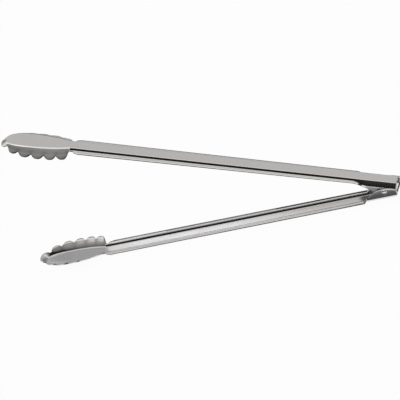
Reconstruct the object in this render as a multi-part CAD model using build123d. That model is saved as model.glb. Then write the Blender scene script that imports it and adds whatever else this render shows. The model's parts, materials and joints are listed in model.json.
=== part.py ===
# Kitchen utility tongs: two stamped steel arms with scalloped bowls, one rivet and one torsion spring.
# The outer arm lies on its flat back with the other arm sprung open above it.
# X runs along the outer arm, bowls towards -X and hinge end towards +X. Y is the rivet's axis, Z is up.
# The origin is on the outer arm's back, straight below the rivet.
import os
from math import asin, atan2, cos, degrees, hypot, pi, radians, sin, sqrt, tan

from build123d import *

os.makedirs("parts", exist_ok=True)

# Overall sizes, in mm and degrees
arm_reach = 392.5
tail_length = 12.0
sheet = 1.2
pin_height = 11.5
inner_pin_height = 9.6
opening_angle = 21.9

# Channel of each arm
web_width = 10.4
channel_depth = 3.4
wall_flare = 1.0
outer_brim_span = 20.0
inner_brim_span = 18.2
brim_span_at_bowl = 21.0
bend_radius = 0.8
notch_length = 3.6

# Hinge end
ear_span = 21.2
ear_bend_height = 6.0
ear_top_rise = 4.3
ear_front_reach = 18.3
ear_front_drop = 1.9
ear_top_front = 7.4
ear_corner_radius = 3.0
brim_start = 27.0
arm_side_gap = 0.2
inner_bend_height = 4.8
stop_gap = 0.12
end_wall_height = 7.0
web_setback = 4.5

# Scalloped bowl
bowl_length = 72.3
bowl_width = 38.2
bowl_depth = 7.4
wall_bulge = 0.5
tooth_depth = 3.4
shoulder_height = 1.3
bowl_overlap = 2.0
notch_along_shares = (0.087, 0.276, 0.477, 0.660, 0.834, 1.0)
rim_across_shares = (0.525, 0.890, 0.980, 0.968, 0.910, 0.725)
crown_width_share = 0.45
crown_front_share = 0.935
shoulder_width_share = 0.60
shoulder_front_share = 0.95

# Rivet
pin_diameter = 4.0
pin_clearance = 0.05
head_diameter = 6.6
head_height = 1.5
tail_head_height = 3.0
tail_head_diameter = 6.6

# Torsion spring
wire_diameter = 1.8
wire_facets = 12
coil_gap = 0.65
coil_clearance = 0.4
whole_turns = 3
leg_reach = 24.0
leg_gap = 0.25

# Shared by all cuts
overrun = 1.0

# Derived sizes
web_half = web_width / 2
mouth_half = web_half + wall_flare
ear_half = ear_span / 2
inner_ear_half = ear_half - sheet - arm_side_gap
bowl_start = arm_reach - bowl_length
pin_radius = pin_diameter / 2
wire_radius = wire_diameter / 2
coil_radius = pin_radius + coil_clearance + wire_radius
coil_pitch = wire_diameter + coil_gap


def shifted(points, distance):
    # Moves an open or closed chain of 2-D points sideways, to its left, keeping its corners mitred
    moved = []
    closed = points[0] == points[-1]
    chain = points[:-1] if closed else points
    for index, (x, y) in enumerate(chain):
        before = chain[index - 1] if index or closed else None
        after = chain[(index + 1) % len(chain)] if index + 1 < len(chain) or closed else None
        normals = []
        for start, end in ((before, (x, y)), ((x, y), after)):
            if start and end:
                run = hypot(end[0] - start[0], end[1] - start[1])
                normals.append(((start[1] - end[1]) / run, (end[0] - start[0]) / run))
        across = sum(normal[0] for normal in normals) / len(normals)
        along = sum(normal[1] for normal in normals) / len(normals)
        size = distance / (across**2 + along**2)
        moved.append((x + across * size, y + along * size))
    return moved + moved[:1] if closed else moved


def sheet_section(station, flange_end, flange_bend):
    # Section of bent sheet across an arm: flat web, two walls, and a flange beyond each wall
    half = [flange_end, flange_bend, (web_half, 0)]
    back = half + [(-across, up) for across, up in reversed(half)]
    face = shifted(back, -sheet)
    folded_in = flange_end[0] - flange_bend[0] < sheet
    wide, tight = bend_radius + sheet, bend_radius
    flange_back, flange_face = (wide, tight) if folded_in else (tight, wide)
    back_line = FilletPolyline(*back, radius=[flange_back, wide, wide, flange_back])
    face_line = FilletPolyline(*face, radius=[flange_face, tight, tight, flange_face])
    edges = [back_line, face_line, Line(back[0], face[0]), Line(back[-1], face[-1])]
    return Plane.YZ.offset(-station) * make_face(edges)


def channel(ear_reach, hinge_height, bend_height, brim_span):
    # The arm from its hinge end to just inside the bowl: ears, a twist of the flange, then the brims
    brim_height = channel_depth - sheet
    ear_bend = (ear_reach, bend_height)
    above_ear = hinge_height + ear_top_rise + overrun
    box = loft(
        [
            sheet_section(-tail_length, (ear_reach, above_ear), ear_bend),
            sheet_section(ear_front_reach, (ear_reach, above_ear), ear_bend),
        ],
        ruled=True,
    )
    twist = loft(
        [
            sheet_section(ear_front_reach, (ear_reach, hinge_height - ear_front_drop), ear_bend),
            sheet_section(brim_start, (brim_span / 2, brim_height), (mouth_half, brim_height)),
        ],
        ruled=True,
    )
    brims = loft(
        [
            sheet_section(brim_start, (brim_span / 2, brim_height), (mouth_half, brim_height)),
            sheet_section(
                bowl_start + bowl_overlap, (brim_span_at_bowl / 2, brim_height), (mouth_half, brim_height)
            ),
        ],
        ruled=True,
    )
    return box, twist, brims


def ear_outline(hinge_height):
    # Side view of the ears: a front slope, a rounded top and a tail slope that leans by the opening angle
    top, tail = hinge_height + ear_top_rise, hinge_height + stop_rise()
    tail_run = (top - tail) / tan(radians(opening_angle))
    corners = [
        (-ear_front_reach, -overrun),
        (-ear_front_reach, hinge_height - ear_front_drop),
        (-ear_top_front, top),
        (tail_length - tail_run, top),
        (tail_length, tail),
        (tail_length, -overrun),
    ]
    small = sheet
    path = FilletPolyline(
        *corners, radius=[small, ear_corner_radius, ear_corner_radius, small], close=False
    )
    face = make_face([path, Line(corners[-1], corners[0])])
    return extrude(Plane.XZ * face, ear_span, both=True)


def stop_rise():
    # Rise of an ear's tail corner over the rivet that lets its slope land on the outer arm's walls when open
    slope_run = ear_half - web_half
    slope_length = hypot(slope_run, ear_bend_height)
    wall_at_ear = (inner_ear_half - web_half) * ear_bend_height / slope_run + sheet * slope_length / slope_run
    reach = pin_height - wall_at_ear - stop_gap
    angle = radians(opening_angle)
    return (reach - tail_length * sin(angle)) / cos(angle)


def bowl_outline(height, width_share, front_share, inset=0, tooth=0):
    # Plan of the bowl at one height: a rounded tip, five arcs a side and a straight rear edge.
    # An inset outline runs on behind the bowl, and a tooth is how far each arc swells past its ends.
    chain = []
    for along, across in zip(notch_along_shares, rim_across_shares):
        distance = bowl_length * (1 - (1 - along) * front_share)
        chain.append((distance - arm_reach, across * bowl_width / 2 * width_share))
    chain = [(x, -y) for x, y in reversed(chain)] + chain
    rear = chain[-1][0]
    if inset:
        chain = shifted([*chain, chain[0]], -inset)[:-1]
        chain[0] = (rear + bowl_overlap, chain[0][1])
        chain[-1] = (rear + bowl_overlap, chain[-1][1])
    tip_run = bowl_length * notch_along_shares[0] * width_share
    tip = bowl_length * (1 - (1 - notch_along_shares[0]) * front_share) - arm_reach - tip_run + inset - tooth
    edges = []
    for start, end in zip(chain, chain[1:]):
        run = Vector(end[0] - start[0], end[1] - start[1])
        middle = Vector((start[0] + end[0]) / 2, (start[1] + end[1]) / 2)
        outward = Vector(-run.Y, run.X).normalized()
        at_tip = start[1] < 0 < end[1]
        top = Vector(tip, 0) if at_tip else middle + outward * (wall_bulge * width_share + tooth)
        edges.append(ThreePointArc(start, top, end))
    edges.append(Line(chain[-1], chain[0]))
    return Plane.XY.offset(height) * make_face(edges)


def bowl():
    # Scoop with toothed edges: a ruled loft from a narrow crown to a wide rim, less the same form inset,
    # and its edge then cut straight down to rounded teeth
    levels = [
        (0, crown_width_share, crown_front_share),
        (shoulder_height, shoulder_width_share, shoulder_front_share),
        (bowl_depth, 1, 1),
    ]
    outside = loft([bowl_outline(*level) for level in levels], ruled=True)
    crown, shoulder, rim = levels
    slope = atan2(bowl_depth - shoulder_height, bowl_width / 2 * (1 - shoulder_width_share))
    turn = slope / 2
    inner_levels = [
        bowl_outline(sheet, *crown[1:], sheet * tan(turn / 2)),
        bowl_outline(shoulder_height + sheet * cos(turn), *shoulder[1:], sheet * sin(turn)),
        bowl_outline(bowl_depth, *rim[1:], sheet / sin(slope)),
    ]
    inside = loft(inner_levels, ruled=True)
    teeth = extrude(bowl_outline(0, 1, 1, tooth_depth, tooth_depth), bowl_depth + overrun)
    return (outside - inside) & teeth


def side_gap(brim_span):
    # Cuts the brims short of the bowl, which leaves the small notch behind its last scallop
    length = notch_length + bowl_overlap + overrun
    start = -bowl_start - bowl_overlap - overrun
    width = brim_span
    block = Box(length, width, channel_depth + overrun * 2, align=(Align.MIN, Align.MIN, Align.MIN))
    cuts = Pos(start, mouth_half + sheet / 2, -overrun) * block
    return cuts + mirror(cuts, Plane.XZ)


def arm(ear_reach, hinge_height, bend_height, brim_span):
    # One stamped arm, lying on its back, before it is placed
    box, twist, brims = channel(ear_reach, hinge_height, bend_height, brim_span)
    body = (box & ear_outline(hinge_height)) + twist + (brims - side_gap(brim_span)) + bowl()
    hole = Pos(0, 0, hinge_height) * Rot(X=90) * Cylinder(pin_radius + pin_clearance, ear_span * 2)
    return body - hole


def end_wall(ear_reach, bend_height):
    # The web's end, turned in between the ears to close the inner arm's hinge end
    inside = shifted([(ear_reach, end_wall_height), (ear_reach, bend_height), (web_half, 0)], -sheet / 2)
    outline = inside + [(-across, up) for across, up in reversed(inside)]
    face = make_face(Polyline(*outline, close=True))
    return extrude(Plane.YZ.offset(tail_length) * face, -sheet)


def tail_cut():
    # Slants the outer arm's hinge end below its ears' bend, so that the web stops short of them
    slope = web_setback / ear_bend_height
    beyond = tail_length + overrun * slope
    outline = Polyline(
        (tail_length - web_setback - overrun * slope, -overrun),
        (beyond, ear_bend_height + overrun),
        (beyond, -overrun),
        close=True,
    )
    return extrude(Plane.XZ * make_face(outline), ear_span, both=True)


def swing(shape, angle):
    # Turns a shape about the rivet, tip upwards
    centre = Pos(0, 0, pin_height)
    return centre * Rot(Y=angle) * centre.inverse() * shape


def rivet():
    # Round-headed rivet, its tail headed over taller than its factory head
    grip = ear_half + pin_clearance
    near, far = -grip - head_height, grip + tail_head_height
    head_half, tail_half = head_diameter / 2, tail_head_diameter / 2
    dome = TangentArc((0, near), (head_half, -grip), tangent=(1, 0))
    steps = Polyline(
        (head_half, -grip), (pin_radius, -grip), (pin_radius, grip), (tail_half, grip), (tail_half, grip + sheet)
    )
    cap = TangentArc((0, far), (tail_half, grip + sheet), tangent=(1, 0))
    profile = make_face([dome, steps, cap, Line((0, far), (0, near))])
    return Pos(0, 0, pin_height) * revolve(profile, Axis.Y)


def biarc(start, start_way, end, end_way):
    # Two arcs that leave one point and reach another along given directions
    chord, ways = end - start, start_way + end_way
    lead = 2 * (1 - start_way.dot(end_way))
    mixed = chord.dot(ways)
    reach = (-mixed + sqrt(mixed**2 + lead * chord.dot(chord))) / lead
    joint = (start + end + (start_way - end_way) * reach) / 2
    joint_way = (end - end_way * reach) - (start + start_way * reach)
    return [TangentArc(start, joint, tangent=start_way), TangentArc(joint, end, tangent=joint_way)]


def spring_path():
    # Lower leg, coil about the rivet, upper leg: legs lie on the two webs at the open angle
    slopes, lengths = [], []
    for hinge_height in (pin_height, inner_pin_height):
        drop = hinge_height - sheet - wire_radius - leg_gap
        far = hypot(leg_reach, drop)
        slopes.append(degrees(atan2(drop, leg_reach) - asin(coil_radius / far)))
        lengths.append(sqrt(far**2 - coil_radius**2))
    first = slopes[0] - 90
    last = 90 - opening_angle - slopes[1]
    sweep_angle = last - first + 360 * whole_turns
    steps = round(sweep_angle / 90)
    width = coil_pitch * sweep_angle / 360
    nodes = []
    for index in range(steps + 1):
        angle = radians(first + sweep_angle * index / steps)
        at_end = index in (0, steps)
        rise = 0 if at_end else coil_pitch / (2 * pi)
        place = Vector(
            coil_radius * cos(angle), width * (index / steps - 1 / 2), pin_height + coil_radius * sin(angle)
        )
        way = Vector(-coil_radius * sin(angle), rise, coil_radius * cos(angle)).normalized()
        nodes.append((place, way))
    arcs = [arc for one, two in zip(nodes, nodes[1:]) for arc in biarc(*one, *two)]
    lower = Line(nodes[0][0] - nodes[0][1] * lengths[0], nodes[0][0])
    upper = Line(nodes[-1][0], nodes[-1][0] + nodes[-1][1] * lengths[1])
    return Wire([lower, *[edge for arc in arcs for edge in arc.edges()], upper])


def least_gap(path):
    # Least distance between turns, measured on points of the wire's centre line
    count = 600
    points = [path @ (index / count) for index in range(count + 1)]
    apart = 2 * wire_diameter
    step = path.length / count
    best = None
    for index, point in enumerate(points):
        for other in range(index + int(apart / step) + 1, len(points)):
            distance = (points[other] - point).length
            best = distance if best is None else min(best, distance)
    return best - wire_diameter


def spring():
    path = spring_path()
    print("spring: least gap to itself", round(least_gap(path), 3), "mm, wire length", round(path.length, 1))
    start = Plane(path @ 0, z_dir=path % 0)
    return sweep(start * RegularPolygon(wire_radius, wire_facets), path)


def closing_travel():
    # Degrees from open until the two rims meet at the bowls' tips
    rim_gap = pin_height + inner_pin_height - 2 * bowl_depth
    return opening_angle + degrees(rim_gap / arm_reach)


outer_arm = arm(ear_half, pin_height, ear_bend_height, outer_brim_span) - tail_cut()
inner_flat = arm(inner_ear_half, inner_pin_height, inner_bend_height, inner_brim_span)
inner_flat += end_wall(inner_ear_half, inner_bend_height)
turned_over = Pos(0, 0, pin_height + inner_pin_height) * Rot(X=180) * inner_flat
inner_arm = swing(turned_over, opening_angle)

print("closing travel", round(closing_travel(), 2), "degrees")
for name, solid in {
    "outer_arm": outer_arm,
    "inner_arm": inner_arm,
    "hinge_rivet": rivet(),
    "torsion_spring": spring(),
}.items():
    export_step(solid, f"parts/{name}.step")
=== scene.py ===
# Steel kitchen tongs with scalloped bowls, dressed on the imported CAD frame. Lengths are in metres.
import json
import math

import bmesh
import bpy
from mathutils import Matrix, Vector


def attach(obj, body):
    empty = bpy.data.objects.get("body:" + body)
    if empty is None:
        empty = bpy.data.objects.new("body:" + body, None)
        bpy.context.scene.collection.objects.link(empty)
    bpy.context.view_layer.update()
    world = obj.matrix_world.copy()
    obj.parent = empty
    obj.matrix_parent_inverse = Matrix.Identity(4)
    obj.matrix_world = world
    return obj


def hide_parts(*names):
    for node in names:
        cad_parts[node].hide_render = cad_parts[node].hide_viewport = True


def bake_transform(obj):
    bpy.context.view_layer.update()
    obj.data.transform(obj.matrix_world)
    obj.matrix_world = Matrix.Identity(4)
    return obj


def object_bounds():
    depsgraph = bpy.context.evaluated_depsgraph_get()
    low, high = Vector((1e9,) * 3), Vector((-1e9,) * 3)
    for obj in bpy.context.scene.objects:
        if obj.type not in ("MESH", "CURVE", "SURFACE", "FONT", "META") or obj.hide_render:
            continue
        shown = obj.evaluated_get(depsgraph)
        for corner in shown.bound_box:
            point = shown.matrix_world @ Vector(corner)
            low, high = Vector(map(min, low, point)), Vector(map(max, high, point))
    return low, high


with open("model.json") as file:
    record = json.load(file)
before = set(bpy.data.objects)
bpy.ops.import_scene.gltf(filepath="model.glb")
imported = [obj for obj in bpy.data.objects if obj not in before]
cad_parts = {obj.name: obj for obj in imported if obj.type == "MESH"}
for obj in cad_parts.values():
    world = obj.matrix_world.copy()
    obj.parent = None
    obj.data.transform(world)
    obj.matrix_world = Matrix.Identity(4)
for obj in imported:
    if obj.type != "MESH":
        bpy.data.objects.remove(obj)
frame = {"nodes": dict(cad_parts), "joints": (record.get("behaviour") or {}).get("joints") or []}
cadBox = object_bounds()
print("frame loaded:", sorted(frame["nodes"]))

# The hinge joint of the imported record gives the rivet's place
hinge = frame["joints"][0]
pin = Vector(hinge["pos_m"])


# Camera

view = {
    "azimuth": 30.92,
    "elevation": 33.29,
    "roll": 29.54,
    "pinPixel": (386.6, 185.6),
    "pixelsPerMetre": 1012.0,
    "framePixels": 400,
    "distance": 8.0,
    "sensor": 36.0,
    "clip": (0.1, 100),
}


def makeCamera():
    # A very long lens, because the photograph shows almost no perspective
    azimuth, elevation = math.radians(view["azimuth"]), math.radians(view["elevation"])
    level = Vector((math.cos(azimuth), math.sin(azimuth), 0))
    back = Vector((math.sin(azimuth), -math.cos(azimuth), 0)) * math.cos(elevation)
    back.z = math.sin(elevation)
    right = Matrix.Rotation(math.radians(-view["roll"]), 3, back) @ level
    up = back.cross(right)
    centre = view["framePixels"] / 2
    across = (centre - view["pinPixel"][0]) / view["pixelsPerMetre"]
    down = (centre - view["pinPixel"][1]) / view["pixelsPerMetre"]
    target = pin + right * across - up * down
    data = bpy.data.cameras.new("camera")
    data.sensor_width = view["sensor"]
    data.lens = view["sensor"] * view["distance"] * view["pixelsPerMetre"] / view["framePixels"]
    data.clip_start, data.clip_end = view["clip"]
    camera = bpy.data.objects.new("camera", data)
    bpy.context.scene.collection.objects.link(camera)
    turned = Matrix((right, up, back)).transposed().to_4x4()
    camera.matrix_world = Matrix.Translation(target + back * view["distance"]) @ turned
    bpy.context.scene.camera = camera


# Shader helpers

def newMaterial(name):
    material = bpy.data.materials.new(name)
    material.use_nodes = True
    material.node_tree.nodes.clear()
    return material, material.node_tree.nodes, material.node_tree.links


grainSizes = {
    "streakScale": (60.0, 2600.0, 2600.0),
    "streakDetail": 3.0,
    "cloudScale": 45.0,
    "cloudDetail": 4.0,
    "bumpDepth": 0.0001,
}


def makeGrainGroup():
    # Fine drawing lines along the sheet and faint clouds, shared by every steel finish
    group = bpy.data.node_groups.new("steelGrain", "ShaderNodeTree")
    face = group.interface
    face.new_socket("Vector", in_out="INPUT", socket_type="NodeSocketVector")
    for name, value in (
        ("Roughness", 0.2), ("Streaks", 0.1), ("Clouds", 0.1), ("Tone", 0.7), ("Tone change", 0.05),
    ):
        face.new_socket(name, in_out="INPUT", socket_type="NodeSocketFloat").default_value = value
    face.new_socket("Roughness", in_out="OUTPUT", socket_type="NodeSocketFloat")
    face.new_socket("Height", in_out="OUTPUT", socket_type="NodeSocketFloat")
    face.new_socket("Colour", in_out="OUTPUT", socket_type="NodeSocketColor")
    nodes, links = group.nodes, group.links
    given = nodes.new("NodeGroupInput")
    out = nodes.new("NodeGroupOutput")
    stretched = nodes.new("ShaderNodeVectorMath")
    stretched.operation = "MULTIPLY"
    stretched.inputs[1].default_value = grainSizes["streakScale"]
    links.new(given.outputs["Vector"], stretched.inputs[0])
    streak = nodes.new("ShaderNodeTexNoise")
    streak.inputs["Scale"].default_value = 1.0
    streak.inputs["Detail"].default_value = grainSizes["streakDetail"]
    links.new(stretched.outputs[0], streak.inputs["Vector"])
    cloud = nodes.new("ShaderNodeTexNoise")
    cloud.inputs["Scale"].default_value = grainSizes["cloudScale"]
    cloud.inputs["Detail"].default_value = grainSizes["cloudDetail"]
    links.new(given.outputs["Vector"], cloud.inputs["Vector"])

    def centred(source, amount):
        # A noise value of 0 to 1 made to swing either side of zero by the given amount
        moved = nodes.new("ShaderNodeMath")
        moved.operation = "SUBTRACT"
        moved.inputs[1].default_value = 0.5
        links.new(source, moved.inputs[0])
        scaled = nodes.new("ShaderNodeMath")
        scaled.operation = "MULTIPLY"
        links.new(moved.outputs[0], scaled.inputs[0])
        links.new(amount, scaled.inputs[1])
        return scaled.outputs[0]

    def total(first, second):
        added = nodes.new("ShaderNodeMath")
        added.operation = "ADD"
        links.new(first, added.inputs[0])
        links.new(second, added.inputs[1])
        return added.outputs[0]

    streaks = centred(streak.outputs["Fac"], given.outputs["Streaks"])
    clouds = centred(cloud.outputs["Fac"], given.outputs["Clouds"])
    rough = total(total(given.outputs["Roughness"], streaks), clouds)
    links.new(rough, out.inputs["Roughness"])
    links.new(streak.outputs["Fac"], out.inputs["Height"])
    tone = total(given.outputs["Tone"], centred(cloud.outputs["Fac"], given.outputs["Tone change"]))
    combined = nodes.new("ShaderNodeCombineColor")
    for channel in combined.inputs:
        links.new(tone, channel)
    links.new(combined.outputs[0], out.inputs["Colour"])
    return group


def steelMaterial(name, group, finish):
    # Polished stainless steel: metal whose gloss and tone vary with the grain group
    material, nodes, links = newMaterial(name)
    coords = nodes.new("ShaderNodeTexCoord")
    turn = nodes.new("ShaderNodeMapping")
    turn.inputs["Rotation"].default_value = (0, finish["turn"], 0)
    links.new(coords.outputs["Object"], turn.inputs["Vector"])
    grain = nodes.new("ShaderNodeGroup")
    grain.node_tree = group
    links.new(turn.outputs["Vector"], grain.inputs["Vector"])
    for key in ("Roughness", "Streaks", "Clouds", "Tone", "Tone change"):
        grain.inputs[key].default_value = finish[key]
    bump = nodes.new("ShaderNodeBump")
    bump.inputs["Strength"].default_value = finish["bump"]
    bump.inputs["Distance"].default_value = grainSizes["bumpDepth"]
    links.new(grain.outputs["Height"], bump.inputs["Height"])
    shader = nodes.new("ShaderNodeBsdfPrincipled")
    shader.inputs["Metallic"].default_value = 1.0
    links.new(grain.outputs["Colour"], shader.inputs["Base Color"])
    links.new(grain.outputs["Roughness"], shader.inputs["Roughness"])
    links.new(bump.outputs["Normal"], shader.inputs["Normal"])
    out = nodes.new("ShaderNodeOutputMaterial")
    links.new(shader.outputs["BSDF"], out.inputs["Surface"])
    return material


# The two stamped arms

armSizes = {
    "sheet": 0.0012,
    "reach": 0.3925,
    "tail": 0.0120,
    "openAngle": 21.9,
    "webHalf": 0.0052,
    "mouthHalf": 0.0067,
    "brimHeight": 0.0022,
    "brimHalfAtBowl": 0.0105,
    "bendCut": 0.0006,
    "brimCut": 0.0006,
    "earFront": 0.0183,
    "earFrontDrop": 0.0019,
    "earRise": 0.0043,
    "earTopFront": 0.0074,
    "earRounding": 0.002,
    "stopRise": 0.0007,
    "webSetback": 0.0045,
    "endWallBend": 0.0018,
    "endWallHeight": 0.007,
    "endWallRoom": 1.06,
    "brimEndRounding": 0.0015,
    "thickestFold": 1.35,
    "edgeRounding": 0.0002,
    "edgeAngle": 50,
    "weldWithin": 0.000002,
    "faceWithin": 0.000001,
}
armSteps = {"ear": 40, "twist": 14, "brim": 60, "wall": 8, "tail": 3}
outerArm = {
    "pinHeight": 0.0115, "earHalf": 0.0106, "earBend": 0.0060, "brimHalf": 0.0100, "endWall": False,
    "brimStart": 0.027, "brimCurl": 0.0004, "shoulderShare": 0.30, "wallSag": 0.0009, "wallBow": 0.0,
}
innerArm = {
    "pinHeight": 0.0096, "earHalf": 0.0092, "earBend": 0.0048, "brimHalf": 0.0091, "endWall": True,
    "brimStart": 0.032, "brimCurl": -0.0003, "shoulderShare": 0.36, "wallSag": -0.0002, "wallBow": -0.00015,
}

bowlSizes = {
    "length": 0.0723,
    "halfWidth": 0.0191,
    "depth": 0.0074,
    "shoulderDrop": 0.0013,
    "wallBulge": 0.0005,
    "toothDepth": 0.0034,
    "notchAlong": (0.087, 0.276, 0.477, 0.660, 0.834, 1.0),
    "rimAcross": (0.525, 0.890, 0.980, 0.968, 0.910, 0.725),
    "ridgeHalf": 0.0114,
    "ridgeTurn": 4,
    "ridgeShare": 1.35,
    "ridgeNarrowing": 3,
    "lipFlare": 0.0005,
    "lobeSoftness": 5,
    "crown": (0.51, 0.960),
    "noseDrop": 0.0030,
    "noseLength": 0.0340,
    "shoulder": (0.60, 0.957),
    "rim": (1.0, 1.0),
    "crownCut": 0.0014,
    "shoulderCut": 0.0026,
    "lobeSteps": 16,
    "rearRounding": 0.0035,
    "rearHalf": 0.0080,
    "heelHeight": 0.0008,
    "notchLength": 0.0036,
    "notchHalf": 0.0074,
    "notchShares": (0.02, 0.5, 0.95),
    "leastWall": 0.2,
    "middleX": -0.357,
}
sectionSteps = {"web": 4, "bend": 7, "wall": 3, "flange": 6}
longestCut = 0.45
sharpAngle = 38


def between(start, end, share):
    return start + (end - start) * share


def smooth(share):
    share = min(1.0, max(0.0, share))
    return share * share * (3 - 2 * share)


def section(corners, cuts, flare=0.0, curl=0.0):
    # Half of a section from the arm's middle outwards: three runs with two soft corners, the last one bowed
    # by the flare and its end turned back by the curl
    middle, first, second, end = corners
    points = []

    def softCorner(before, corner, after, cut):
        start = corner + (before - corner).normalized() * min(cut, (before - corner).length * longestCut)
        finish = corner + (after - corner).normalized() * min(cut, (after - corner).length * longestCut)
        arc = []
        for index in range(sectionSteps["bend"] + 1):
            share = index / sectionSteps["bend"]
            arc.append(between(between(start, corner, share), between(corner, finish, share), share))
        return arc

    firstArc = softCorner(middle, first, second, cuts[0])
    secondArc = softCorner(first, second, end, cuts[1])
    for index in range(sectionSteps["web"]):
        points.append(between(middle, firstArc[0], index / sectionSteps["web"]))
    points += firstArc
    for index in range(1, sectionSteps["wall"]):
        points.append(between(firstArc[-1], secondArc[0], index / sectionSteps["wall"]))
    points += secondArc
    for index in range(1, sectionSteps["flange"] + 1):
        share = index / sectionSteps["flange"]
        lift = flare * math.sin(math.pi * share) - curl * share * share
        points.append(between(secondArc[-1], end, share) + Vector((0, 0, lift)))
    return points


def earTop(x, pinHeight):
    # Height of the ear's upper edge above the arm's back, with soft corners
    sizes = armSizes
    top = pinHeight + sizes["earRise"]
    tailCorner = pinHeight + sizes["stopRise"]
    frontSlope = (top - pinHeight + sizes["earFrontDrop"]) / (sizes["earFront"] - sizes["earTopFront"])
    front = top + (x + sizes["earTopFront"]) * frontSlope
    tail = tailCorner + (sizes["tail"] - x) * math.tan(math.radians(sizes["openAngle"]))
    soft = sizes["earRounding"]

    def lower(a, b):
        # The smaller of two heights, blended where they cross
        mix = max(soft - abs(a - b), 0) / soft
        return min(a, b) - mix * mix * soft / 4

    return lower(lower(front, top), tail)


def bowlChain(level, height):
    # Half chain of the points between the bowl's lobes at one height, from its rear corner to the tip
    widthShare, frontShare = level
    sizes = bowlSizes
    chain = []
    for along, across in zip(sizes["notchAlong"], sizes["rimAcross"]):
        distance = sizes["length"] * (1 - (1 - along) * frontShare)
        chain.append(Vector((distance - armSizes["reach"], across * sizes["halfWidth"] * widthShare, height)))
    chain.reverse()
    return chain


def arcOver(start, end, top):
    # Centre and radius of the circle in plan through two points and the top of their arc
    half = (end - start).length / 2
    rise = (top - (start + end) / 2).length
    radius = (half * half + rise * rise) / (2 * rise)
    inward = ((start + end) / 2 - top).normalized()
    return top + inward * radius, radius


def lobeTop(start, end, bulge):
    run = end - start
    outward = Vector((run.y, -run.x, 0)).normalized()
    if outward.y < 0:
        outward = -outward
    return (start + end) / 2 + outward * bulge


def bowlLevel(level, height):
    # Half outline of the smooth scoop at one height, from its rear corner to the tip
    sizes = bowlSizes
    chain = bowlChain(level, height)
    outline = []
    steps = sizes["lobeSteps"]

    def follow(start, end, top, count):
        centre, radius = arcOver(start, end, top)
        first = start - centre
        turn = first.angle(end - centre)
        if (top - centre).dot((start + end) / 2 - centre) < 0:
            turn = 2 * math.pi - turn
        way = -1 if first.cross(top - centre).z < 0 else 1
        return [
            centre + Matrix.Rotation(way * turn * index / count, 3, "Z") @ first for index in range(count + 1)
        ]

    for start, end in zip(chain, chain[1:]):
        outline += follow(start, end, lobeTop(start, end, sizes["wallBulge"] * level[0]), steps)[:-1]
    last = chain[-1]
    tip = last.x - sizes["length"] * sizes["notchAlong"][0] * level[0]
    across = Vector((last.x, -last.y, height))
    outline += follow(last, across, Vector((tip, 0, height)), steps * 2)[: steps + 1]
    return softened(outline)


def softened(outline):
    # Evens out the corners between the arcs, so that the scoop's wall runs smooth behind its teeth
    reach = bowlSizes["lobeSoftness"]
    for turn in range(2):
        mirrored = [Vector((p.x, -p.y, p.z)) for p in reversed(outline[:-1])]
        whole = outline + mirrored
        evened = []
        for index in range(len(outline)):
            width = min(reach, index)
            window = whole[index - width : index + width + 1]
            evened.append(sum(window, Vector((0, 0, 0))) / len(window))
        outline = evened
    return outline


def toothCircles():
    # Plan circles that the rim's rounded teeth are cut to, from the rear lobe to the tip
    sizes = bowlSizes
    depth = sizes["toothDepth"]
    chain = bowlChain(sizes["rim"], 0)
    last = chain[-1]
    middle = Vector((sizes["middleX"], 0, 0))
    closed = chain + [Vector((last.x, -last.y, 0))]
    moved = []
    for index, point in enumerate(closed[:-1]):
        normals = []
        for start, end in ((closed[index - 1] if index else None, point), (point, closed[index + 1])):
            if start is not None:
                run = end - start
                inward = Vector((-run.y, run.x, 0)).normalized()
                normals.append(inward if inward.dot(middle - point) > 0 else -inward)
        across = sum(normals, Vector()) / len(normals)
        moved.append(point + across * (depth / across.length_squared))
    circles = []
    for start, end in zip(moved, moved[1:]):
        circles.append(arcOver(start, end, lobeTop(start, end, depth + sizes["wallBulge"])))
    tip = Vector((-armSizes["reach"], 0, 0))
    last = moved[-1]
    circles.append(arcOver(last, Vector((last.x, -last.y, 0)), tip))
    return circles


def cutShare(ridge, edge, circles):
    # How far from the ridge to the rim the wall runs before it leaves the nearest teeth's circles in plan
    shares = []
    for centre, radius in circles:
        start = Vector((ridge.x - centre.x, ridge.y - centre.y, 0))
        run = Vector((edge.x - ridge.x, edge.y - ridge.y, 0))
        a, b, c = run.dot(run), 2 * start.dot(run), start.dot(start) - radius * radius
        inside = b * b - 4 * a * c
        if inside >= 0:
            shares.append((-b + math.sqrt(inside)) / (2 * a))
    return min(1.0, max([bowlSizes["leastWall"]] + shares))


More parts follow.
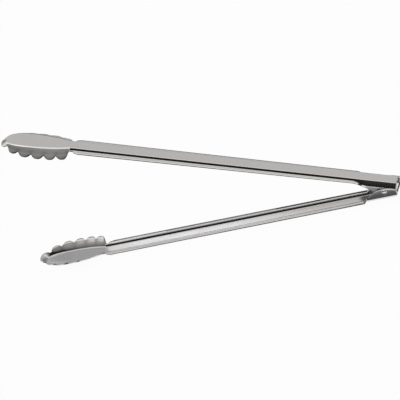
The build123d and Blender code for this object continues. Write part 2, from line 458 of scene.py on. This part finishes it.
def bowlRows(kind):
    # Sections of the bowl from its rear corner to the tip
    sizes = bowlSizes
    crown = bowlLevel(sizes["crown"], 0.0)
    shoulder = bowlLevel(sizes["shoulder"], sizes["shoulderDrop"])
    rim = bowlLevel(sizes["rim"], sizes["depth"])
    circles = toothCircles()
    steps = sizes["lobeSteps"]
    rows = []
    for index, (inner, ridge, edge) in enumerate(zip(crown, shoulder, rim)):
        lobe = index // steps
        nearby = circles[max(0, lobe - 1) : lobe + 2]
        # The floor is an oval that narrows to the arm's web, and its front curves up like a spoon's
        run = min(1.0, max(0.0, (edge.x + armSizes["reach"]) / sizes["length"]))
        straight = between(sizes["ridgeHalf"], armSizes["webHalf"], run ** sizes["ridgeNarrowing"])
        nose = max(0.0, 1 - (inner.x + armSizes["reach"]) / sizes["noseLength"])
        wide = max(0.0, inner.y * sizes["ridgeShare"])
        narrowed = wide / (1 + (wide / straight) ** sizes["ridgeTurn"]) ** (1 / sizes["ridgeTurn"])
        inner = Vector((inner.x, narrowed, sizes["noseDrop"] * nose * nose))
        ridge = between(inner, edge, kind["shoulderShare"]) + Vector((0, 0, kind["wallSag"]))
        kept = cutShare(ridge, edge, nearby)
        edge = between(ridge, edge, kept) + Vector((0, 0, sizes["lipFlare"] * math.sin(math.pi * kept)))
        drawn = 1 - (rim[0].x - edge.x) / sizes["rearRounding"]
        if drawn > 0:
            # The rear end draws in to the arm like the heel of a spoon
            keep = math.sqrt(max(0.0, 1 - drawn * drawn))
            heel = Vector((edge.x, sizes["rearHalf"], armSizes["brimHeight"]))
            edge = between(heel, edge, keep)
            ridge = between(Vector((ridge.x, armSizes["mouthHalf"], sizes["heelHeight"])), ridge, keep)
            inner = between(Vector((inner.x, armSizes["webHalf"], 0)), inner, keep)
        middle = Vector((inner.x, 0.0, inner.z))
        cuts = (sizes["crownCut"], sizes["shoulderCut"])
        rows.append(section((middle, inner, ridge, edge), cuts, kind["wallBow"]))
    return rows


def armRows(kind):
    # Sections of one flat arm from its hinge end to its tip
    sizes = armSizes
    web, mouth, brim = sizes["webHalf"], sizes["mouthHalf"], sizes["brimHeight"]
    tail = sizes["tail"] - (sizes["endWallBend"] if kind["endWall"] else 0)
    rows = []

    def row(x, bend, end, cuts, curl=0.0):
        corners = (Vector((x, 0, 0)), Vector((x, web, 0)), Vector((x, *bend)), Vector((x, *end)))
        points = section(corners, cuts, 0.0, curl)
        if not kind["endWall"]:
            # The web's end is drawn back in a slant below the ears
            share = max(0.0, 1 - (tail - x) / (2 * sizes["webSetback"]))
            for point in points:
                point.x -= share * sizes["webSetback"] * max(0.0, 1 - point.z / kind["earBend"])
        rows.append(points)

    earBend = (kind["earHalf"], kind["earBend"])
    earSteps, twistSteps, brimSteps = armSteps["ear"], armSteps["twist"], armSteps["brim"]
    cuts = (sizes["bendCut"], sizes["brimCut"])
    for index in range(earSteps + 1):
        x = between(tail, -sizes["earFront"], index / earSteps)
        row(x, earBend, (kind["earHalf"], earTop(x, kind["pinHeight"])), cuts)
    earEnd = (kind["earHalf"], earTop(-sizes["earFront"], kind["pinHeight"]))
    for index in range(1, twistSteps + 1):
        share = index / twistSteps
        x = between(-sizes["earFront"], -kind["brimStart"], share)
        bend = [between(a, b, share) for a, b in zip(earBend, (mouth, brim))]
        end = [between(a, b, smooth(share)) for a, b in zip(earEnd, (kind["brimHalf"], brim))]
        row(x, bend, end, cuts, smooth(share) * kind["brimCurl"])
    bowlStart = -(sizes["reach"] - bowlSizes["length"])
    brimEnd = bowlStart + bowlSizes["notchLength"]
    for index in range(1, brimSteps + 1):
        share = index / brimSteps
        x = between(-kind["brimStart"], brimEnd, share)
        rounding = sizes["brimEndRounding"] * max(0.0, 1 - (x - brimEnd) / sizes["brimEndRounding"]) ** 3
        end = (between(kind["brimHalf"], sizes["brimHalfAtBowl"], share) - rounding, brim)
        row(x, (mouth, brim), end, cuts, kind["brimCurl"])
    for share in bowlSizes["notchShares"]:
        x = between(brimEnd, bowlStart, share)
        row(x, (mouth, brim), (bowlSizes["notchHalf"], brim), cuts)
    return rows + bowlRows(kind)


def addEndWall(mesh, kind, lastRow):
    # The inner arm's ears run on past the web, whose end is turned in between them
    sizes = armSizes
    bend = sizes["endWallBend"]
    split = sectionSteps["web"] + sectionSteps["bend"] + sectionSteps["wall"] + sectionSteps["bend"] // 2
    ear = lastRow[split:]
    for side in (1, -1):
        strip = []
        for index in range(armSteps["tail"] + 1):
            x = lastRow[0].x + bend * index / armSteps["tail"]
            top = earTop(x, kind["pinHeight"])
            low = ear[0].z
            high = ear[-1].z
            strip.append(
                [Vector((x, side * p.y, between(low, top, (p.z - low) / (high - low)))) for p in ear]
            )
        addStrip(mesh, strip)
    wall = lastRow[: split + 1]
    narrow = (kind["earHalf"] - sizes["sheet"] * sizes["endWallRoom"]) / wall[-1].y
    rows = []
    steps = armSteps["wall"]
    for index in range(steps + 2):
        angle = math.pi / 2 * min(1.0, index / steps)
        squeeze = between(1.0, narrow, smooth(index / steps))
        lift = bend * (1 - math.cos(angle))
        rows.append([
            Vector((
                lastRow[0].x + bend * math.sin(angle), p.y * squeeze,
                p.z + lift if index <= steps else sizes["endWallHeight"],
            )) for p in wall
        ])
    addGrid(mesh, rows)


def addStrip(mesh, rows):
    table = [[mesh.verts.new(p) for p in row] for row in rows]
    for one, two in zip(table, table[1:]):
        for index in range(len(one) - 1):
            mesh.faces.new((one[index], one[index + 1], two[index + 1], two[index]))


def addGrid(mesh, rows):
    # A sheet of faces over rows of half sections and their mirror images
    addStrip(mesh, [[Vector((p.x, -p.y, p.z)) for p in reversed(half[1:])] + list(half) for half in rows])


def thicken(mesh, thickness):
    # Gives the sheet its wall behind the modelled face, never much thicker where it is folded tightly
    mesh.normal_update()
    faces, back = list(mesh.faces), {}
    rims = [edge.link_loops[0] for edge in mesh.edges if edge.is_boundary]
    for vert in list(mesh.verts):
        factor = min(armSizes["thickestFold"], vert.calc_shell_factor())
        back[vert] = mesh.verts.new(vert.co - vert.normal * thickness * factor)
    rimPairs = [(loop.vert, loop.link_loop_next.vert) for loop in rims]
    for face in faces:
        mesh.faces.new([back[vert] for vert in reversed(face.verts)])
    for start, end in rimPairs:
        mesh.faces.new((end, start, back[start], back[end]))


def makeArm(name, kind, place, material):
    mesh = bmesh.new()
    rows = armRows(kind)
    addGrid(mesh, rows)
    if kind["endWall"]:
        addEndWall(mesh, kind, rows[0])
    bmesh.ops.remove_doubles(mesh, verts=mesh.verts, dist=armSizes["weldWithin"])
    bmesh.ops.dissolve_degenerate(mesh, edges=mesh.edges, dist=armSizes["faceWithin"])
    bmesh.ops.recalc_face_normals(mesh, faces=mesh.faces)
    webMiddle = Vector((-armSizes["reach"] / 2, 0, 0))
    webFace = min(mesh.faces, key=lambda face: (face.calc_center_median() - webMiddle).length)
    if webFace.normal.z > 0:
        bmesh.ops.reverse_faces(mesh, faces=mesh.faces)
    thicken(mesh, armSizes["sheet"])
    for vert in mesh.verts:
        # The bowl's edge is cut level, so that the two rims close on each other
        if vert.co.x < -armSizes["reach"] / 2:
            vert.co.z = min(vert.co.z, bowlSizes["depth"])
    mesh.transform(place)
    data = bpy.data.meshes.new(name)
    mesh.to_mesh(data)
    mesh.free()
    data.materials.append(material)
    piece = bpy.data.objects.new(name, data)
    bpy.context.scene.collection.objects.link(piece)
    edge = piece.modifiers.new("edge", "BEVEL")
    edge.width = armSizes["edgeRounding"]
    edge.segments = 2
    edge.limit_method = "ANGLE"
    edge.angle_limit = math.radians(armSizes["edgeAngle"])
    return settle(piece)


def settle(piece):
    # Applies what the modifiers made and leaves a plain smooth mesh
    graph = bpy.context.evaluated_depsgraph_get()
    made = bpy.data.meshes.new_from_object(piece.evaluated_get(graph))
    piece.modifiers.clear()
    piece.data = made
    for face in made.polygons:
        face.use_smooth = True
    made.set_sharp_from_angle(angle=math.radians(sharpAngle))
    return piece


makeCamera()
print("camera made")

grainGroup = makeGrainGroup()
openTurn = math.radians(armSizes["openAngle"])
armFinish = {
    "Roughness": 0.22, "Streaks": 0.10, "Clouds": 0.08, "Tone": 0.70, "Tone change": 0.06,
    "bump": 0.06, "turn": 0.0,
}
outerSteel = steelMaterial("outerArmSteel", grainGroup, armFinish)
innerSteel = steelMaterial("innerArmSteel", grainGroup, {**armFinish, "turn": -openTurn})
rivetSteel = steelMaterial("rivetSteel", grainGroup, {**armFinish, "Roughness": 0.3, "Tone": 0.95})
springSteel = steelMaterial("springSteel", grainGroup, {**armFinish, "Roughness": 0.3, "Tone": 0.5})
print("materials made")

outerPlace = Matrix.Identity(4)
innerPlace = (
    Matrix.Translation(pin)
    @ Matrix.Rotation(openTurn, 4, "Y")
    @ Matrix.Rotation(math.pi, 4, "X")
    @ Matrix.Translation((0, 0, -innerArm["pinHeight"]))
)
outerSkin = makeArm("outerArmSheet", outerArm, outerPlace, outerSteel)
innerSkin = makeArm("innerArmSheet", innerArm, innerPlace, innerSteel)
for piece, body, node in ((outerSkin, "outer_arm", "outer_arm"), (innerSkin, "inner_arm", "inner_arm")):
    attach(piece, body)
    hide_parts(node)
print("arms made:", [len(piece.data.polygons) for piece in (outerSkin, innerSkin)])


# Rivet and torsion spring

rivetSizes = {
    "Pin radius": 0.0020,
    "Half grip": 0.01065,
    "Head radius": 0.0033,
    "Near head height": 0.0015,
    "Far head height": 0.0030,
    "Hammering": 0.00012,
}
rivetDetail = {
    "shankSides": 48,
    "headSides": 56,
    "headRings": 28,
    "headCut": -0.001,
    "weldWithin": 0.001,
    "dentScale": 700.0,
    "tailFrom": -0.011,
}
springSizes = {
    "wire": 0.0009,
    "coilRadius": 0.0033,
    "pitch": 0.00245,
    "turns": 3,
    "legReach": 0.024,
    "legGap": 0.00025,
    "stepsPerTurn": 56,
    "legSteps": 8,
    "sides": 20,
    "easedShare": 0.06,
}


def newTree(name, inputs):
    # An empty geometry tree with named inputs, and a helper that adds and links its nodes
    tree = bpy.data.node_groups.new(name, "GeometryNodeTree")
    face = tree.interface
    face.new_socket("Geometry", in_out="INPUT", socket_type="NodeSocketGeometry")
    for label, kind, value in inputs:
        socket = face.new_socket(label, in_out="INPUT", socket_type=kind)
        if value is not None:
            socket.default_value = value
    face.new_socket("Geometry", in_out="OUTPUT", socket_type="NodeSocketGeometry")
    given = tree.nodes.new("NodeGroupInput")
    out = tree.nodes.new("NodeGroupOutput")

    def add(kind, links=None, values=None, **settings):
        node = tree.nodes.new(kind)
        for key, value in settings.items():
            setattr(node, key, value)
        for socket, value in (values or {}).items():
            node.inputs[socket].default_value = value
        for socket, source in (links or {}).items():
            tree.links.new(source, node.inputs[socket])
        return node

    return tree, given, out, add


def applyTree(name, data, tree, values):
    # Puts a tree on a mesh, sets its inputs by identifier and keeps the plain result
    piece = bpy.data.objects.new(name, data)
    bpy.context.scene.collection.objects.link(piece)
    modifier = piece.modifiers.new("tree", "NODES")
    modifier.node_group = tree
    for item in tree.interface.items_tree:
        if item.item_type == "SOCKET" and item.in_out == "INPUT" and item.name in values:
            modifier[item.identifier] = values[item.name]
    return settle(piece)


def makeRivetTree():
    # A shank along the pin's axis with two domed heads, of which the far one is dented as if hammered
    lengths = [(key, "NodeSocketFloat", value) for key, value in rivetSizes.items()]
    tree, given, out, add = newTree("rivetTree", lengths + [("Finish", "NodeSocketMaterial", None)])
    give = given.outputs
    sides = rivetDetail["headSides"]
    length = add("ShaderNodeMath", {0: give["Half grip"]}, {1: 2.0}, operation="MULTIPLY")
    shank = add(
        "GeometryNodeMeshCylinder",
        {"Radius": give["Pin radius"], "Depth": length.outputs[0]},
        {"Vertices": rivetDetail["shankSides"]},
    )
    ball = add(
        "GeometryNodeMeshUVSphere",
        None,
        {"Segments": sides, "Rings": rivetDetail["headRings"], "Radius": 1.0},
    )
    spot = add("GeometryNodeInputPosition")
    height = add("ShaderNodeSeparateXYZ", {0: spot.outputs[0]})
    low = add(
        "FunctionNodeCompare", {0: height.outputs["Z"]}, {1: rivetDetail["headCut"]},
        operation="LESS_THAN", data_type="FLOAT",
    )
    dome = add("GeometryNodeDeleteGeometry", {"Geometry": ball.outputs["Mesh"], "Selection": low.outputs[0]})
    disc = add("GeometryNodeMeshCircle", None, {"Vertices": sides, "Radius": 1.0}, fill_type="NGON")
    under = add("GeometryNodeFlipFaces", {"Mesh": disc.outputs["Mesh"]})
    head = add("GeometryNodeJoinGeometry")
    tree.links.new(under.outputs["Mesh"], head.inputs[0])
    tree.links.new(dome.outputs[0], head.inputs[0])
    closed = add(
        "GeometryNodeMergeByDistance", {"Geometry": head.outputs[0]}, {"Distance": rivetDetail["weldWithin"]},
    )
    joined = add("GeometryNodeJoinGeometry")
    tree.links.new(shank.outputs["Mesh"], joined.inputs[0])
    for label, side in (("Near head height", 1.0), ("Far head height", -1.0)):
        scale = add("ShaderNodeCombineXYZ", {0: give["Head radius"], 1: give["Head radius"], 2: give[label]})
        place = add("ShaderNodeMath", {0: give["Half grip"]}, {1: side}, operation="MULTIPLY")
        offset = add("ShaderNodeCombineXYZ", {2: place.outputs[0]})
        point = add("GeometryNodePoints", {"Position": offset.outputs[0]})
        turn = (0.0, 0.0, 0.0) if side > 0 else (math.pi, 0.0, 0.0)
        placed = add(
            "GeometryNodeInstanceOnPoints",
            {"Points": point.outputs[0], "Instance": closed.outputs[0], "Scale": scale.outputs[0]},
            {"Rotation": turn},
        )
        tree.links.new(placed.outputs[0], joined.inputs[0])
    plain = add("GeometryNodeRealizeInstances", {"Geometry": joined.outputs[0]})
    noise = add("ShaderNodeTexNoise", None, {"Scale": rivetDetail["dentScale"], "Detail": 1.0})
    swing = add("ShaderNodeMath", {0: noise.outputs["Fac"]}, {1: 0.5}, operation="SUBTRACT")
    depth = add("ShaderNodeMath", {0: swing.outputs[0], 1: give["Hammering"]}, operation="MULTIPLY")
    normal = add("GeometryNodeInputNormal")
    push = add("ShaderNodeVectorMath", {0: normal.outputs[0], "Scale": depth.outputs[0]}, operation="SCALE")
    far = add(
        "FunctionNodeCompare", {0: height.outputs["Z"]}, {1: rivetDetail["tailFrom"]},
        operation="LESS_THAN", data_type="FLOAT",
    )
    beaten = add(
        "GeometryNodeSetPosition",
        {"Geometry": plain.outputs[0], "Offset": push.outputs[0], "Selection": far.outputs[0]},
    )
    upright = add(
        "GeometryNodeTransform",
        {"Geometry": beaten.outputs[0]},
        {"Rotation": (math.pi / 2, 0, 0), "Translation": pin},
    )
    finish = add("GeometryNodeSetMaterial", {"Geometry": upright.outputs[0], "Material": give["Finish"]})
    tree.links.new(finish.outputs[0], out.inputs[0])
    return tree


def springPoints():
    # Centre line of the wire: lower leg on the outer web, coil about the rivet, upper leg on the inner web
    sizes = springSizes
    radius = sizes["coilRadius"]
    slopes, lengths = [], []
    for kind in (outerArm, innerArm):
        drop = kind["pinHeight"] - armSizes["sheet"] - sizes["wire"] - sizes["legGap"]
        far = math.hypot(sizes["legReach"], drop)
        slopes.append(math.atan2(drop, sizes["legReach"]) - math.asin(radius / far))
        lengths.append(math.sqrt(far * far - radius * radius))
    first = slopes[0] - math.pi / 2
    last = math.pi / 2 - openTurn - slopes[1]
    sweep = last - first + 2 * math.pi * sizes["turns"]
    width = sizes["pitch"] * sweep / (2 * math.pi)
    count = round(sizes["stepsPerTurn"] * sweep / (2 * math.pi))
    eased = sizes["easedShare"]
    coil, ways = [], []
    for index in range(count + 1):
        angle = first + sweep * index / count
        share = index / count
        across = width * (smooth(share) * eased + share * (1 - eased) - 0.5)
        coil.append(pin + Vector((radius * math.cos(angle), across, radius * math.sin(angle))))
        ways.append(Vector((-math.sin(angle), 0, math.cos(angle))))
    steps = sizes["legSteps"]
    lower = [coil[0] - ways[0] * lengths[0] * (1 - index / steps) for index in range(steps)]
    upper = [coil[-1] + ways[-1] * lengths[1] * index / steps for index in range(1, steps + 1)]
    return lower + coil + upper, width


def makeSpringTree():
    # A round wire swept along the centre line
    tree, given, out, add = newTree(
        "springTree",
        [
            ("Wire radius", "NodeSocketFloat", springSizes["wire"]),
            ("Sides", "NodeSocketInt", springSizes["sides"]),
            ("Finish", "NodeSocketMaterial", None),
        ],
    )
    give = given.outputs
    path = add("GeometryNodeMeshToCurve", {"Mesh": give["Geometry"]})
    ring = add(
        "GeometryNodeCurvePrimitiveCircle", {"Radius": give["Wire radius"], "Resolution": give["Sides"]},
    )
    wire = add(
        "GeometryNodeCurveToMesh",
        {"Curve": path.outputs[0], "Profile Curve": ring.outputs[0]},
        {"Fill Caps": True},
    )
    plain = add("GeometryNodeRealizeInstances", {"Geometry": wire.outputs[0]})
    finish = add("GeometryNodeSetMaterial", {"Geometry": plain.outputs[0], "Material": give["Finish"]})
    tree.links.new(finish.outputs[0], out.inputs[0])
    return tree


rivetPiece = applyTree(
    "hingeRivetHeads",
    bpy.data.meshes.new("hingeRivetHeads"),
    makeRivetTree(),
    {**rivetSizes, "Finish": rivetSteel},
)
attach(rivetPiece, "outer_arm")
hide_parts("hinge_rivet")

wirePoints, coilWidth = springPoints()
wireLine = bpy.data.meshes.new("torsionSpringWire")
wireLine.from_pydata(wirePoints, [(index, index + 1) for index in range(len(wirePoints) - 1)], [])
springPiece = applyTree(
    "torsionSpringWire",
    wireLine,
    makeSpringTree(),
    {"Wire radius": springSizes["wire"], "Sides": springSizes["sides"], "Finish": springSteel},
)
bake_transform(springPiece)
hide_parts("torsion_spring")
print("rivet and spring made:", len(rivetPiece.data.polygons), len(springPiece.data.polygons))


# Floor, flags and light

stage = {
    "floorSize": 6.0,
    "floorTone": 0.9,
    "floorGlow": 0.96,
    "warmth": (0.968, 0.938),
    "bands": (
        (-180, 0.0), (-49, 0.0), (-42, 0.18), (-36, 0.25), (-26, 0.30), (-16, 0.40), (-11, 0.45),
        (-7, 1.25), (8, 1.25), (16, 1.0), (29, 0.80), (40, 0.47), (46, 0.47), (52, 0.72), (58, 0.60),
        (67, 0.07), (180, 0.05),
    ),
    "floorCards": {
        "nearFlag": (((-0.8, -0.0092), (0.3, -0.0092), (0.3, -0.027), (-0.8, -0.027)), 0.10),
        "nextFlag": (((-0.055, -0.027), (0.3, -0.027), (0.3, -0.043), (-0.055, -0.043)), 0.32),
        "besideFlag": (
            (
                (-0.8, -0.027), (-0.055, -0.027), (-0.055, -0.045), (-0.10, -0.105), (-0.27, -0.40),
                (-0.27, -0.6), (-0.8, -0.6),
            ),
            0.0,
        ),
        "behindFlag": (
            ((-0.9, 0.0118), (0.3, 0.0118), (0.3, 0.05), (-0.075, 0.05), (-0.44, 0.36), (-0.9, 0.36)),
            0.05,
        ),
        "awayFlag": (((-0.9, 0.36), (-0.44, 0.36), (-0.6, 2.9), (-0.9, 2.9)), 0.60),
    },
    "floorCardUp": 0.0005,
    "horizon": (0.035, 0.055),
    "standingCards": {
        "skyFlag": {"y": 1.2, "x": (-1.07, -0.84), "z": (0.72, 1.10), "tone": 1.5},
        "hingeFlag": {"y": 0.022, "x": (-0.046, -0.018), "z": (0.015, 0.030), "tone": 0.05},
        "brimFlag": {"y": 0.022, "x": (-0.135, -0.018), "z": (0.007, 0.015), "tone": 0.02},
        "bowlFlag": {"y": 0.035, "x": (-0.42, -0.338), "z": (0.019, 0.037), "tone": 0.40},
        "brimEndFlag": {"y": 0.022, "x": (-0.26, -0.135), "z": (0.007, 0.0145), "tone": 0.25},
    },
    "cardBlue": 1.03,
    "lights": {
        "softboxBehind": {"place": (-0.2, 1.2, 1.4), "size": (1.6, 0.8)},
        "softboxAbove": {"place": (-0.4, 0.1, 2.0), "size": (1.0, 0.5)},
    },
    "lightPower": 0.5,
}


def makeFloor():
    # A pale paper floor that glows where it is seen, and still takes the tongs' faint shadow
    mesh = bmesh.new()
    bmesh.ops.create_grid(mesh, x_segments=1, y_segments=1, size=stage["floorSize"] / 2)
    data = bpy.data.meshes.new("floor")
    mesh.to_mesh(data)
    mesh.free()
    floor = bpy.data.objects.new("floor", data)
    floor.location.z = cadBox[0].z
    bpy.context.scene.collection.objects.link(floor)
    material, nodes, links = newMaterial("floorPaper")
    paper = nodes.new("ShaderNodeBsdfDiffuse")
    paper.inputs["Color"].default_value = (*[stage["floorTone"]] * 3, 1)
    glow = nodes.new("ShaderNodeEmission")
    rays = nodes.new("ShaderNodeLightPath")
    seen = nodes.new("ShaderNodeMath")
    seen.operation = "MAXIMUM"
    links.new(rays.outputs["Is Camera Ray"], seen.inputs[0])
    links.new(rays.outputs["Is Glossy Ray"], seen.inputs[1])
    through = nodes.new("ShaderNodeMath")
    through.operation = "MAXIMUM"
    links.new(seen.outputs[0], through.inputs[0])
    links.new(rays.outputs["Is Transmission Ray"], through.inputs[1])
    share = nodes.new("ShaderNodeMath")
    share.operation = "MULTIPLY"
    share.inputs[1].default_value = stage["floorGlow"]
    links.new(through.outputs[0], share.inputs[0])
    mix = nodes.new("ShaderNodeMixShader")
    links.new(share.outputs[0], mix.inputs["Fac"])
    links.new(paper.outputs[0], mix.inputs[1])
    links.new(glow.outputs[0], mix.inputs[2])
    out = nodes.new("ShaderNodeOutputMaterial")
    links.new(mix.outputs[0], out.inputs["Surface"])
    data.materials.append(material)


def makeWorld():
    # A grey studio seen as bands round the X axis, by degrees from overhead: black in front, a bright
    # strip overhead, greys behind and nearly black below
    world = bpy.data.worlds.new("studio")
    bpy.context.scene.world = world
    world.use_nodes = True
    nodes, links = world.node_tree.nodes, world.node_tree.links
    nodes.clear()
    coords = nodes.new("ShaderNodeTexCoord")
    parts = nodes.new("ShaderNodeSeparateXYZ")
    links.new(coords.outputs["Generated"], parts.inputs[0])
    angle = nodes.new("ShaderNodeMath")
    angle.operation = "ARCTAN2"
    links.new(parts.outputs["Y"], angle.inputs[0])
    links.new(parts.outputs["Z"], angle.inputs[1])
    toShare = nodes.new("ShaderNodeMapRange")
    toShare.inputs["From Min"].default_value = -math.pi
    toShare.inputs["From Max"].default_value = math.pi
    links.new(angle.outputs[0], toShare.inputs["Value"])
    ramp = nodes.new("ShaderNodeValToRGB")
    links.new(toShare.outputs[0], ramp.inputs["Fac"])
    bands = stage["bands"]
    ramp.color_ramp.elements[0].position, ramp.color_ramp.elements[1].position = 0.0, 1.0
    for degrees, _ in bands[1:-1]:
        ramp.color_ramp.elements.new((degrees + 180) / 360)
    for element, (degrees, tone) in zip(ramp.color_ramp.elements, bands):
        element.position = (degrees + 180) / 360
        element.color = (tone, tone * stage["warmth"][0], tone * stage["warmth"][1], 1)
    # The far edge of the studio, a thin white line all round at floor level
    level = nodes.new("ShaderNodeMath")
    level.operation = "ABSOLUTE"
    links.new(parts.outputs["Z"], level.inputs[0])
    low = nodes.new("ShaderNodeMapRange")
    low.inputs["From Min"].default_value, low.inputs["From Max"].default_value = stage["horizon"]
    low.inputs["To Min"].default_value, low.inputs["To Max"].default_value = 1.0, 0.0
    links.new(level.outputs[0], low.inputs["Value"])
    joined = nodes.new("ShaderNodeMix")
    joined.data_type = "RGBA"
    colours = [socket for socket in joined.inputs if socket.type == "RGBA"]
    links.new(low.outputs["Result"], joined.inputs["Factor"])
    links.new(ramp.outputs["Color"], colours[0])
    colours[1].default_value = (1, 1, 1, 1)
    mixed = [socket for socket in joined.outputs if socket.type == "RGBA"][0]
    back = nodes.new("ShaderNodeBackground")
    links.new(mixed, back.inputs["Color"])
    out = nodes.new("ShaderNodeOutputWorld")
    links.new(back.outputs[0], out.inputs["Surface"])


def makeFlag(name, corners, tone):
    # A card of one tone that only reflections see
    mesh = bpy.data.meshes.new(name)
    mesh.from_pydata([Vector(corner) for corner in corners], [], [tuple(range(len(corners)))])
    card = bpy.data.objects.new(name, mesh)
    bpy.context.scene.collection.objects.link(card)
    material, nodes, links = newMaterial(name + "Card")
    dull = nodes.new("ShaderNodeEmission")
    dull.inputs["Color"].default_value = (tone, tone, tone * stage["cardBlue"], 1)
    out = nodes.new("ShaderNodeOutputMaterial")
    links.new(dull.outputs[0], out.inputs["Surface"])
    mesh.materials.append(material)
    card.visible_camera = False
    card.visible_diffuse = False
    card.visible_shadow = False
    card.visible_transmission = False


def makeLight(name, place, size, power):
    data = bpy.data.lights.new(name, "AREA")
    data.shape = "RECTANGLE"
    data.size, data.size_y = size
    data.energy = power
    light = bpy.data.objects.new(name, data)
    light.location = place
    light.rotation_euler = (pin - Vector(place)).to_track_quat("-Z", "Y").to_euler()
    bpy.context.scene.collection.objects.link(light)


makeFloor()
makeWorld()
level = cadBox[0].z + stage["floorCardUp"]
for name, (corners, tone) in stage["floorCards"].items():
    makeFlag(name, [(x, y, level) for x, y in corners], tone)
for name, card in stage["standingCards"].items():
    corners = [(card["x"][i], card["y"], card["z"][j]) for i, j in ((0, 0), (1, 0), (1, 1), (0, 1))]
    makeFlag(name, corners, card["tone"])
for name, light in stage["lights"].items():
    makeLight(name, light["place"], light["size"], stage["lightPower"])
bpy.context.scene.view_settings.view_transform = "Standard"
print("stage made")
